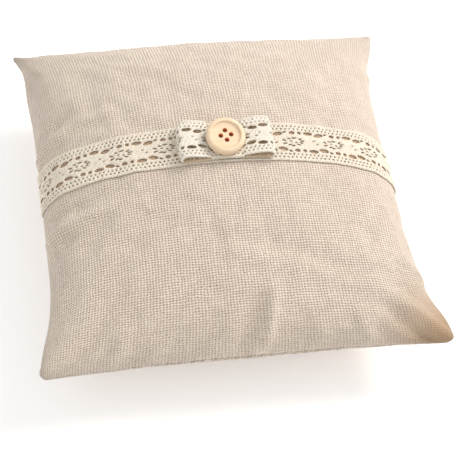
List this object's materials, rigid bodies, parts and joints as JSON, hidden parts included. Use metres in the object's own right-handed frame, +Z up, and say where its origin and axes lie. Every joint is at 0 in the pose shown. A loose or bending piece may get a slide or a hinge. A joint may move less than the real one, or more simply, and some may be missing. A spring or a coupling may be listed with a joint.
{
  "type": "ring bearer pillow",
  "caption": "Small square stuffed linen pillow with a lace band across the front, a flat lace bow and a wooden button holding it.",
  "frame": {"origin": "centre of the pillow's footprint, on the surface it lies on", "axes": "+Z up out of the decorated front, through the button; +X along the lace band; +Y across the band, towards the fuller half of the cushion"},
  "size_m": [0.196, 0.196, 0.0814],
  "materials": {
    "linen": "plain woven natural linen, matte",
    "fill": "polyester fibre stuffing",
    "thread": "sewing thread",
    "lace": "ecru cotton bobbin lace, matte",
    "button_wood": "pale turned wood, sanded, satin",
    "glue": "clear craft glue, dried"
  },
  "bodies": {
    "cushion": {"cover_front": "linen", "cover_back": "linen", "fibre_fill": "fill", "seam_thread": "thread", "closing_stitches": "thread", "lace_band": "lace", "bow_centre": "lace", "tack_thread": "thread", "button": "button_wood", "button_glue": "glue"},
    "left_loop": {"bow_left_loop": "lace"},
    "right_loop": {"bow_right_loop": "lace"}
  },
  "joints": [
    {"name": "left_loop_lift", "type": "hinge", "parent": "cushion", "child": "left_loop", "pos_m": [-0.01, 0.00183, 0.0733], "axis": [0, 0.9968, 0.0802], "range_deg": [0, 35], "stiffness_Nm_per_rad": 0.0004, "springref_deg": -11.46},
    {"name": "right_loop_lift", "type": "hinge", "parent": "cushion", "child": "right_loop", "pos_m": [0.01, 0.00183, 0.0733], "axis": [0, -0.9968, -0.0802], "range_deg": [0, 35], "stiffness_Nm_per_rad": 0.0004, "springref_deg": -11.46}
  ]
}
